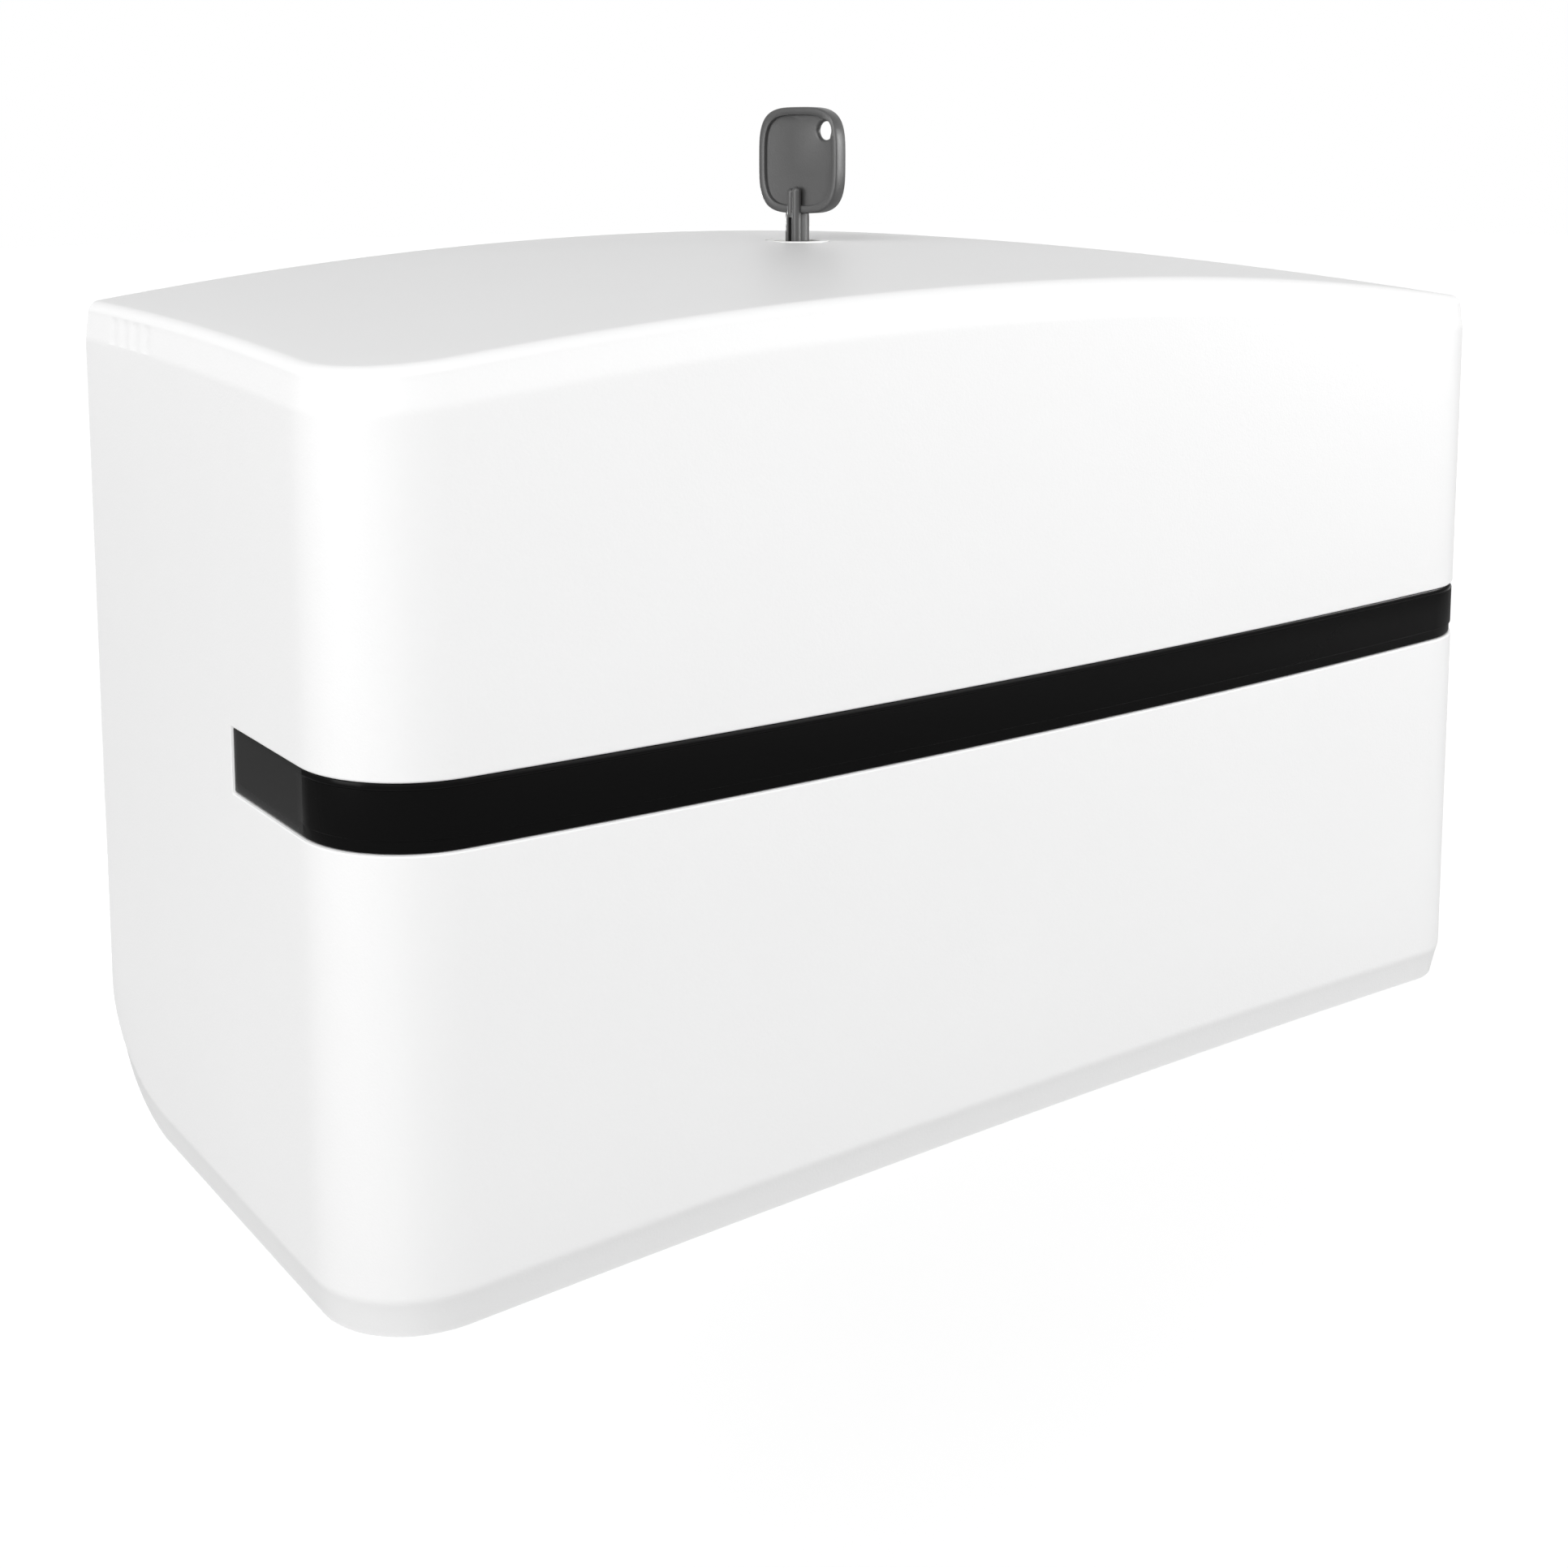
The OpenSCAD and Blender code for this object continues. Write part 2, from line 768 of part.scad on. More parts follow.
module outlet_frame()
    color(grey)
        difference() {
            translate([-frame_x, -frame_y1, z_low])
                cube([2 * frame_x, frame_y1 - frame_y0, frame_top - z_low]);
            arch(wall);
            translate([-outlet_x, -outlet_y1, z_low - 1])
                cube([2 * outlet_x, outlet_y1 - outlet_y0, 40]);
            translate([-floor_x, -outlet_y1, z_low - 1])
                cube([2 * floor_x, outlet_y1 - outlet_y0, side_under - z_low + 1]);
            translate([-outlet_x, -outlet_y1 - groove, shutter_z - groove_gap])
                cube([2 * outlet_x, outlet_y1 - outlet_y0 + 2 * groove, shutter_t + 2 * groove_gap]);
            for (x = [-1, 1], p = frame_screws_at)
                translate([x * p[0], -p[1], z_low])
                    cylinder(r = thread_r, h = 40);
            for (x = [-1, 1], y = tear_screws_y)
                translate([x * (outlet_x + tear_screw_in), -y, z_low])
                    cylinder(r = thread_r, h = side_under - z_low + tear_screw_h);
        }

module frame_screws()
    color(steel)
        for (x = [-1, 1], p = frame_screws_at)
            translate([x * p[0], -p[1], frame_screw_z])
                union() {
                    cylinder(r = thread_r, h = frame_top - frame_screw_z);
                    translate([0, 0, frame_top - frame_screw_z])
                        cylinder(r = screw_head_r, h = screw_head_h);
                }

module shutter()
    color(grey)
        difference() {
            translate([shutter_gap, shutter_play - outlet_y1 - groove, shutter_z])
                cube([shutter_w, outlet_y1 - outlet_y0 + 2 * (groove - shutter_play), shutter_t]);
            translate([shutter_gap + shutter_w / 2, -(outlet_y0 + outlet_y1) / 2, shutter_z - 1])
                cylinder(r = knob_stem_r, h = shutter_t + 2);
        }

module shutter_knob()
    color(white)
        translate([shutter_gap + shutter_w / 2, -(outlet_y0 + outlet_y1) / 2, shutter_z])
            union() {
                translate([0, 0, -knob_h])
                    cylinder(r = knob_r, h = knob_h);
                cylinder(r = knob_stem_r, h = shutter_t);
                translate([0, 0, shutter_t])
                    cylinder(r = knob_rivet_r, h = knob_rivet_h);
            }

// A toothed strip whose teeth point to the middle of the outlet
teeth = floor((tear_y1 - tear_y0) / tooth_pitch);
tear_edge = concat(
    [
        [outlet_x + tear_back, -tear_y0 - teeth * tooth_pitch],
        [outlet_x + tear_back, -tear_y0],
        [outlet_x, -tear_y0]
    ],
    [for (i = [0 : teeth - 1]) each [
        [outlet_x - tear_tip, -tear_y0 - (i + 0.5) * tooth_pitch],
        [outlet_x, -tear_y0 - (i + 1) * tooth_pitch]
    ]]
);
module tear_bar()
    difference() {
        translate([0, 0, side_under - tear_t])
            linear_extrude(height = tear_t)
                polygon(tear_edge);
        for (y = tear_screws_y)
            translate([outlet_x + tear_screw_in, -y, side_under - 5])
                cylinder(r = thread_r, h = 10);
    }
module tear_bar_right()
    color(steel)
        tear_bar();
module tear_bar_left()
    color(steel)
        mirror([1, 0, 0])
            tear_bar();

module tear_bar_screws()
    color(steel)
        for (x = [-1, 1], y = tear_screws_y)
            translate([x * (outlet_x + tear_screw_in), -y, side_under - tear_t])
                union() {
                    cylinder(r = thread_r, h = tear_t + tear_screw_h);
                    translate([0, 0, -screw_head_h])
                        cylinder(r = screw_head_r, h = screw_head_h);
                }

rear_chassis();
front_cover();
window_strip();
hinge_pins();
lock_housing();
lock_nut();
lock_barrel();
lock_cam();
cam_screw();
key();
lock_striker();
striker_screws();
spindle(-1);  // spindle_left
spindle(1);  // spindle_right
spindle_screws();
roll_hub(-1);  // roll_hub_left
roll_hub(1);  // roll_hub_right
brake_washer(-1);  // brake_washer_left
brake_washer(1);  // brake_washer_right
spindle_cap(-1);  // spindle_cap_left
spindle_cap(1);  // spindle_cap_right
cap_screws();
centre_divider();
divider_screws();
outlet_frame();
frame_screws();
shutter();
shutter_knob();
tear_bar_left();
tear_bar_right();
tear_bar_screws();
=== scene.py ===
import bpy
import math
import mathutils
import numpy as np
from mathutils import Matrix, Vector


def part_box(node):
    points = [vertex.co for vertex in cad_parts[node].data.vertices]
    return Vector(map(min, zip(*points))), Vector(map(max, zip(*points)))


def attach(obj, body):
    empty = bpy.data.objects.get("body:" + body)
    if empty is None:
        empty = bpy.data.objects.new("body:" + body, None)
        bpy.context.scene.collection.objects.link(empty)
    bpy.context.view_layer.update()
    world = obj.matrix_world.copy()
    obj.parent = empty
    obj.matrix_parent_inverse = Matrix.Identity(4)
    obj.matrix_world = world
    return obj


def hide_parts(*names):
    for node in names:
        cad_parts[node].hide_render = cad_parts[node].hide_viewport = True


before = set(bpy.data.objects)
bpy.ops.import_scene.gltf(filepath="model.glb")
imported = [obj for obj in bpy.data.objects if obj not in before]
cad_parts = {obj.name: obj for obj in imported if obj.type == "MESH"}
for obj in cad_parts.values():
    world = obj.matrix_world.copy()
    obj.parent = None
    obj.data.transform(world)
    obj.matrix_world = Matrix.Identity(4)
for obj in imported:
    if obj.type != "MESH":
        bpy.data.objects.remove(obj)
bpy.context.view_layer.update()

# ---------------------------------------------------------------------------
# Rear chassis
# White ABS wall plate, injection moulded in one piece with its rim, hinge lugs
# and round pads. Four screws hold it to the wall, and it carries the rest.


def feed(tree, value, socket):
    """Sets a socket to a number, or links it to the socket that feeds it."""
    if isinstance(value, (int, float)):
        socket.default_value = value
    else:
        tree.links.new(value, socket)


def maths(tree, kind, *values):
    """One maths node; each value is a number or the socket that feeds it."""
    node = tree.nodes.new("ShaderNodeMath")
    node.operation = kind
    for socket, value in zip(node.inputs, values):
        feed(tree, value, socket)
    return node.outputs[0]


def own_place(tree):
    """Place of a point on its piece, in metres."""
    return tree.nodes.new("ShaderNodeTexCoord").outputs["Object"]


def noise(tree, place, scale, detail):
    """Noise between 0 and 1 with so many cells to the metre."""
    node = tree.nodes.new("ShaderNodeTexNoise")
    tree.links.new(place, node.inputs["Vector"])
    feed(tree, scale, node.inputs["Scale"])
    feed(tree, detail, node.inputs["Detail"])
    return node.outputs["Fac"]


def finish_group(name, pattern):
    """Empty shader group for one kind of finish, with what it is given and what it gives. The
    pattern is the name of the value that says how many cells to the metre its relief has."""
    tree = bpy.data.node_groups.new(name, "ShaderNodeTree")
    shared = [("Colour", "Color"), ("Roughness", "Float")]
    inputs = [*shared, (pattern, "Float"), ("Mottle", "Float")]
    outputs = [*shared, ("Height", "Float")]
    for way, sockets in (("INPUT", inputs), ("OUTPUT", outputs)):
        for label, kind in sockets:
            tree.interface.new_socket(label, in_out=way, socket_type="NodeSocket" + kind)
    return tree, tree.nodes.new("NodeGroupInput").outputs, tree.nodes.new("NodeGroupOutput").inputs


def cloud_over(tree, given, result, cells):
    """Clouds in the colour and the roughness: a slow noise about zero, times the mottle, scales
    the colour about 1 and is added to the roughness."""
    slow = maths(tree, "SUBTRACT", noise(tree, own_place(tree), cells, 3), 0.5)
    tint = tree.nodes.new("ShaderNodeVectorMath")
    tint.operation = "SCALE"
    tree.links.new(given["Colour"], tint.inputs[0])
    tree.links.new(maths(tree, "MULTIPLY_ADD", slow, given["Mottle"], 1), tint.inputs["Scale"])
    tree.links.new(tint.outputs[0], result["Colour"])
    rough = maths(tree, "MULTIPLY_ADD", slow, given["Mottle"], given["Roughness"])
    tree.links.new(rough, result["Roughness"])


def moulded_skin():
    """Shader group for the skin that a spark-eroded mould leaves on plastic: the height is a
    fine noise plus half of one three times as coarse."""
    tree, given, result = finish_group("moulded_skin", "Grain")
    fine = noise(tree, own_place(tree), given["Grain"], 2)
    coarse = noise(tree, own_place(tree), maths(tree, "DIVIDE", given["Grain"], 3), 2)
    tree.links.new(maths(tree, "MULTIPLY_ADD", coarse, 0.5, fine), result["Height"])
    cloud_over(tree, given, result, cells=40)
    return tree


def finished(name, group, given, relief, metallic=0, specular=0.5):
    """Material whose colour, roughness and bump come from a group, on one Principled shader.
    The relief is the bump's depth in metres."""
    material = bpy.data.materials.new(name)
    material.use_nodes = True
    tree = material.node_tree
    surface = tree.nodes["Principled BSDF"].inputs
    surface["Metallic"].default_value = metallic
    surface["Specular IOR Level"].default_value = specular
    skin = tree.nodes.new("ShaderNodeGroup")
    skin.node_tree = group
    for label, value in given.items():
        skin.inputs[label].default_value = value
    bump = tree.nodes.new("ShaderNodeBump")
    bump.inputs["Strength"].default_value = 1
    bump.inputs["Distance"].default_value = relief
    tree.links.new(skin.outputs["Height"], bump.inputs["Height"])
    tree.links.new(bump.outputs["Normal"], surface["Normal"])
    tree.links.new(skin.outputs["Colour"], surface["Base Color"])
    tree.links.new(skin.outputs["Roughness"], surface["Roughness"])
    return material


skin_tree = moulded_skin()


def plastic(name, colour, roughness, grain, relief, mottle=0.03, specular=0.5):
    """Moulded plastic: its grain is given in cells to the metre and the relief in metres."""
    given = {"Colour": (*colour, 1), "Roughness": roughness, "Grain": grain, "Mottle": mottle}
    return finished(name, skin_tree, given, relief, specular=specular)


def dress(material, *names):
    """Gives the CAD nodes of these names one material."""
    for name in names:
        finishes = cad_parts[name].data.materials
        finishes.clear()
        finishes.append(material)


chassis_white = plastic(
    "chassis_white", (0.8, 0.8, 0.79), roughness=0.42, grain=2600, relief=0.00002
)
dress(chassis_white, "rear_chassis")

# ---------------------------------------------------------------------------
# Hinge pins
# Two drawn steel pins, 5 mm across, pressed into the chassis lugs. The cover's
# ears turn on them.

LINE_STRETCH = (0.01, 1, 1)


def drawn_metal():
    """Shader group for rolled or drawn metal: the height of the drawing lines is a noise
    stretched a hundred times along X."""
    tree, given, result = finish_group("drawn_metal", "Lines")
    stretch = tree.nodes.new("ShaderNodeVectorMath")
    stretch.operation = "MULTIPLY"
    stretch.inputs[1].default_value = LINE_STRETCH
    tree.links.new(own_place(tree), stretch.inputs[0])
    tree.links.new(noise(tree, stretch.outputs[0], given["Lines"], 3), result["Height"])
    cloud_over(tree, given, result, cells=160)
    return tree


ZINC = {"Colour": (0.62, 0.63, 0.65, 1), "Roughness": 0.34, "Lines": 5200, "Mottle": 0.12}
steel = finished("zinc_steel", drawn_metal(), ZINC, relief=0.00001, metallic=1)
dress(steel, "hinge_pins")

# ---------------------------------------------------------------------------
# Lock striker with its two screws
# Grey ABS bracket with an upright tongue that the lock's hook catches behind.
# Two pan head screws with a cross recess fix its foot to the chassis.

MM = 0.001


def box_mm(name):
    """Lowest and highest corner of a CAD node, in millimetres."""
    return np.round(np.array(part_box(name)) / MM, 2)


def grid_faces(rows, columns, ring=False):
    """Four corners of each cell of a grid stored row by row; ring joins last column to first."""
    row = np.arange(rows - 1)[:, None] * columns
    column = np.arange(columns if ring else columns - 1)[None, :]
    beside = (column + 1) % columns
    cells = [row + column, row + beside, row + beside + columns, row + column + columns]
    return np.stack(np.broadcast_arrays(*cells), axis=-1).reshape(-1, 4)


def make_piece(name, points, faces, material, body, slot, crease=20):
    """Closed piece from points in millimetres: equal points become one, cells that have
    shrunk to nothing go, and edges that turn by more than crease degrees stay sharp."""
    _, first, place = np.unique(np.round(points, 4), axis=0, return_index=True, return_inverse=True)
    corners = place.reshape(-1)[faces]
    same = corners == np.roll(corners, -1, axis=1)
    crossed = (corners[:, 0] == corners[:, 2]) | (corners[:, 1] == corners[:, 3])
    shapes = corners[(same.sum(axis=1) == 0) & ~crossed].tolist()
    for side in range(4):
        three = (same.sum(axis=1) == 1) & same[:, side] & ~crossed
        shapes += np.delete(corners[three], side, axis=1).tolist()
    mesh = bpy.data.meshes.new(name)
    mesh.from_pydata((points[first] * MM).tolist(), [], shapes)
    mesh.validate()
    mesh.shade_smooth()
    mesh.set_sharp_from_angle(angle=math.radians(crease))
    mesh.materials.append(material)
    piece = bpy.data.objects.new(name, mesh)
    bpy.context.scene.collection.objects.link(piece)
    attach(piece, body)
    return piece


def turned(profile, steps=48):
    """Surface turned round +Z: each (radius, height) of the profile swept through a circle.
    A profile from bottom to top with its material on the left gives faces that look out."""
    angle = np.arange(steps) * 2 * math.pi / steps
    radius, height = np.asarray(profile, float).T
    x, y = radius[:, None] * np.cos(angle), radius[:, None] * np.sin(angle)
    z = np.repeat(height[:, None], steps, axis=1)
    points = np.stack([x, y, z], axis=-1).reshape(-1, 3)
    return points, grid_faces(len(radius), steps, ring=True)


def stand(points, foot, out):
    """Turns points drawn round +Z so that +Z looks along out, and puts their origin at foot."""
    out = np.asarray(out, float) / np.linalg.norm(out)
    across = np.cross((0, 0, 1) if abs(out[2]) < 0.9 else (0, 1, 0), out)
    across /= np.linalg.norm(across)
    up = np.cross(out, across)
    return np.asarray(foot, float) + points @ np.array([across, up, out])


def joined(parts):
    """One list of points and faces from several."""
    starts = np.cumsum([0] + [len(points) for points, _ in parts[:-1]])
    faces = [cells + start for (_, cells), start in zip(parts, starts)]
    return np.vstack([points for points, _ in parts]), np.vstack(faces)


def smooth(value, low, high):
    """0 below low, 1 above high, and a smooth rise between them."""
    t = np.clip((value - low) / (high - low), 0, 1)
    return t * t * (3 - 2 * t)


SHANK, TIP, HEAD_TOP, HEAD_FALL = 1.5, 1, 2, 0.05  # radii, head's height, fall of its top
HEAD_SIDE = [(2.7, 0), (2.72, 0.1), (2.75, 0.9), (2.65, 1.35), (2.4, 1.66), (2.05, 1.84)]
TOP_RINGS = np.array([1.75, 1.6, 1.45, 1.25, 1.05, 0.85, 0.66, 0.5, 0.36, 0.24, 0.12, 0])
CROSS_HALF, CROSS_REACH = (0.26, 0.44), (1.4, 1.7)  # where the cross's sides and ends rise
CROSS_DEPTH, CROSS_SLOPE = 1.25, 0.3


def pan_screw(length):
    """Pan head screw along +Z, its head's underside at 0: a turned profile, whose top falls
    with the square of the radius. A cross is sunk into the top round the centre lines of its
    two arms, and gets shallower towards their ends."""
    shank = [(0, -length), (TIP, -length), (SHANK, 0.6 - length), (SHANK, 0)]
    top = np.column_stack([TOP_RINGS, HEAD_TOP - HEAD_FALL * TOP_RINGS**2])
    points, faces = turned([*shank, *HEAD_SIDE, *top])
    across = abs(points[:, :2]).min(axis=1)
    reach = np.hypot(points[:, 0], points[:, 1])
    sunk = (1 - smooth(across, *CROSS_HALF)) * (1 - smooth(reach, *CROSS_REACH))
    sunk = sunk * (CROSS_DEPTH - CROSS_SLOPE * reach)
    points[:, 2] -= np.where(points[:, 2] > HEAD_TOP - 0.2, sunk, 0)
    return points, faces


def screw_set(name, places, out, body):
    """Like screws as one piece, in place of the CAD node of that name. Their heads look along
    out, their places are given in the two other directions, and the node's box says how long
    the screws are and where the heads sit."""
    axis, way = np.flatnonzero(out)[0], sum(out)
    low, high = box_mm(name)[:, axis]
    seat = (high if way > 0 else low) - way * HEAD_TOP
    points, faces = pan_screw(high - low - HEAD_TOP)
    seats = [np.insert(np.array(place, float), axis, seat) for place in places]
    parts = [(stand(points, seat, out), faces) for seat in seats]
    piece = make_piece(name + "_cross", *joined(parts), steel, body, "steel")
    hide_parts(name)


TO_ROOM, UP, DOWN = (0, -1, 0), (0, 0, 1), (0, 0, -1)
STRIKER_SCREWS = [(-13, 74.97), (13, 74.97)]
grey_abs = plastic("grey_abs", (0.42, 0.43, 0.44), roughness=0.4, grain=2600, relief=0.00002)
dress(grey_abs, "lock_striker")
screw_set("striker_screws", STRIKER_SCREWS, TO_ROOM, "chassis")

# ---------------------------------------------------------------------------
# Spindles, hubs, brake washers and caps
# Grey ABS spindles screwed to the pads. An off-white acetal hub with six ribs
# turns on each, between a rubber brake washer and a cap held by one screw.

SPINDLE_X, _, SPINDLE_Z = box_mm("roll_hub_right").mean(axis=0)
SCREW_CIRCLE, SCREW_TURNS = 21, np.radians([90, 210, 330])
acetal = plastic("acetal", (0.78, 0.77, 0.74), roughness=0.32, grain=1800, relief=0.00001)
brake_rubber = plastic(
    "brake_rubber", (0.03, 0.03, 0.03), roughness=0.75, grain=1500, relief=0.00004
)
for side in ("left", "right"):
    dress(grey_abs, "spindle_" + side, "spindle_cap_" + side)
    dress(acetal, "roll_hub_" + side)
    dress(brake_rubber, "brake_washer_" + side)
axes = np.array([(-SPINDLE_X, SPINDLE_Z), (SPINDLE_X, SPINDLE_Z)])
circle = SCREW_CIRCLE * np.column_stack([np.cos(SCREW_TURNS), np.sin(SCREW_TURNS)])
screw_set("spindle_screws", [*(axes[0] + circle), *(axes[1] + circle)], TO_ROOM, "chassis")
screw_set("cap_screws", axes, TO_ROOM, "chassis")

# ---------------------------------------------------------------------------
# Centre divider
# White ABS fin that keeps the two rolls apart, screwed through its foot.

DIVIDER_SCREWS = [(-6.5, -42), (-6.5, 24)]
dress(chassis_white, "centre_divider")
screw_set("divider_screws", DIVIDER_SCREWS, TO_ROOM, "chassis")

# ---------------------------------------------------------------------------
# Outlet frame, shutter and tear bars
# Grey ABS frame screwed down on the cover's floor. A grey shutter with an
# acetal knob slides in its grooves, and a toothed steel strip edges each side.

FRAME_SCREWS = [(x, y) for x in (-103, 103) for y in (-135, -29.5)]
BAR_SCREWS = [(x, y) for x in (-94, 94) for y in (-112, -52)]
dress(grey_abs, "outlet_frame", "shutter")
dress(acetal, "shutter_knob")
dress(steel, "tear_bar_left", "tear_bar_right")
screw_set("frame_screws", FRAME_SCREWS, UP, "cover")
screw_set("tear_bar_screws", BAR_SCREWS, DOWN, "cover")

# ---------------------------------------------------------------------------
# Front cover
# White ABS shell, 3 mm thick, moulded in one piece with a fine matt grain. Its
# crowned roof ends in a narrow lip and a sloping band, and its lower edge has a
# second band. It hangs on the hinge pins by two ears.

low, high = box_mm("front_cover")
HALF_WIDTH, DEPTH, REAR_GAP, LOW, PEAK = high[0], -low[1], -high[1], low[2], high[2]
WALL, CORNER = 3, 24  # thickness of the shell, and radius of its corners in plan
ROOF_RISE, ROOF_DROP = 12.4, 6.1  # crown of the roof from side to side, and its fall forwards
FRONT_BOW, FLOOR_RISE = 6.6, 6.5  # bow of the front in plan, and arch of the lower edge
LIP, BAND_DROP, BAND_LEAN = 2.3, 8, 0.8  # roof's lip, and the upper band's drop and lean
FOOT_TOP, FOOT_SUNK = 8.8, 1.8  # the lower band's height, and its inset at the lower edge
RIPPLE_START, RIPPLE_PITCH, RIPPLE_COUNT, RIPPLE_DEPTH = 15.5, 7, 4, 0.16
SLOT_LOW, SLOT_HIGH, SLOT_END, SLOT_SOFT = 1, 14.5, 83, 0.5  # its end is so far from the wall
HEEL_LONG, HEEL_TALL, FLOOR_BACK = 33, 20, 22  # heel at the wall, and where the floor starts
OUTLET_X, OUTLET_FRONT, OUTLET_BACK = 98, -131, -33
LOCK_Y = box_mm("lock_housing").mean(axis=0)[1]
LOCK_HOLE, LOCK_SEAT, LOCK_BOSS = 6.5, 8, 11  # radii of the hole, its counterbore and boss
LOCK_SUNK, BOSS_LOW = -1.2, -9  # counterbore's floor and boss's end, from the roof
EAR_FOOT, EAR_REACH = 152, 9  # where the ears start from the middle, and how far they reach


def arc_radius(half, sag):
    """Radius of the arc with this half chord and this sagitta."""
    return (half * half + sag * sag) / (2 * sag)


ROOF_ACROSS, ROOF_ALONG = arc_radius(HALF_WIDTH, ROOF_RISE), arc_radius(DEPTH, ROOF_DROP)
FRONT_ARC, FLOOR_ARC = arc_radius(HALF_WIDTH, FRONT_BOW), arc_radius(HALF_WIDTH, FLOOR_RISE)


def roof(x, y, drop=0):
    """Height of the roof, or of one that lies inside it by drop: an arc across the cover,
    swung along a larger arc from the wall to the front."""
    ring = ROOF_ALONG - ROOF_ACROSS + np.sqrt((ROOF_ACROSS - drop) ** 2 - x * x)
    return PEAK - ROOF_ALONG + np.sqrt(ring * ring - y * y)


def under_side(x, y):
    """Height of the lower edge: an arch across the cover, and near the wall a quarter
    ellipse that turns up to meet it."""
    arch = LOW + FLOOR_RISE - FLOOR_ARC + np.sqrt(FLOOR_ARC**2 - x * x)
    along = np.clip((y + REAR_GAP) / HEEL_LONG + 1, 0, 1)
    return np.maximum(arch, LOW + HEEL_TALL * (1 - np.sqrt(1 - along * along)))


def outline(stations):
    """The cover's outline in plan, from its right rear end round the front to the left one,
    and the direction inwards at each point. Straight sides have a point at each distance
    from the wall, then come corners of one radius that run into a wide front arc."""
    middle, corner_x = FRONT_ARC - DEPTH, HALF_WIDTH - CORNER
    corner_y = middle - math.sqrt((FRONT_ARC - CORNER) ** 2 - corner_x**2)
    end = math.atan2(corner_y - middle, corner_x)
    sides = np.column_stack([0 * stations + HALF_WIDTH, -stations])
    turn = np.linspace(0, end, 22)
    corner = np.column_stack([np.cos(turn), np.sin(turn)])
    across = np.linspace(end, -math.pi - end, 44)[1:-1]
    front = np.column_stack([np.cos(across), np.sin(across)])
    right = np.vstack([sides, corner * CORNER + (corner_x, corner_y)])
    inward = np.vstack([0 * sides - (1, 0), -corner])
    line = np.vstack([right, front * FRONT_ARC + (0, middle), right[::-1] * (-1, 1)])
    return line, np.vstack([inward, -front, inward[::-1] * (-1, 1)])


def side_stations():
    """Distances from the wall: close together along the heel, the ripples and the slot's end."""
    heel = REAR_GAP + HEEL_LONG * (1 - np.cos(np.linspace(0, math.pi / 2, 14)))
    ends = np.hstack([FLOOR_BACK - 1, FLOOR_BACK, SLOT_END - np.array([0.8, 0.4, 0.2, 0])])
    return np.unique(np.round(np.hstack([heel, np.r_[14:46:0.7], np.r_[48:115:6], ends]), 1))


def soft_edge(distance, radius):
    """How far a face falls back at this distance from an edge with this radius."""
    near = np.clip(radius - distance, 0, radius)
    return radius - np.sqrt(radius * radius - near * near)


def ripples(line, z):
    """Depth of the upright ripples in the left end of the upper band: cosine waves along the
    side, faded out at both ends, below the lip and at the band's lower edge."""
    away, below = -line[:, 1] - RIPPLE_START, roof(line[:, 0], line[:, 1]) - z
    length = RIPPLE_COUNT * RIPPLE_PITCH
    ends = smooth(away, -0.5, 1) * (1 - smooth(away, length - 1, length + 0.5))
    low = BAND_DROP - 1, BAND_DROP + 0.4
    across = smooth(below, LIP - 0.5, LIP + 0.7) * (1 - smooth(below, *low))
    wave = 0.5 - 0.5 * np.cos(away * 2 * math.pi / RIPPLE_PITCH)
    return RIPPLE_DEPTH * ends * across * (line[:, 0] < 0) * wave


LINE, INWARD = outline(side_stations())
turn = np.linspace(math.pi / 2, 0, 17)
lip_rows = np.column_stack([BAND_LEAN + LIP * (1 - np.cos(turn)), LIP * (1 - np.sin(turn))])
band_rows = np.column_stack([np.linspace(BAND_LEAN, 0, 9), np.linspace(LIP, BAND_DROP, 9)])
CROWN = np.vstack([lip_rows, band_rows[1:], [(0, BAND_DROP + 0.8), (0, BAND_DROP + 2)]])
FOOT = np.array(
    [
        *[(0, FOOT_TOP), (0.03, 8.2), (0.12, 7.6), (0.26, 7), (0.42, 6.4), (0.6, 5.7)],
        *[(1.1, 3.4), (1.6, 1.1), (FOOT_SUNK - 0.05, 0.4), (FOOT_SUNK, 0)],
    ]
)
SLOT_ROWS = np.array([[0.8], [0.4], [0.15], [0]])  # distances of rows from the slot's edges
BETWEEN = np.array([[0.25], [0.5], [0.75]])  # shares of the way from a band to the slot


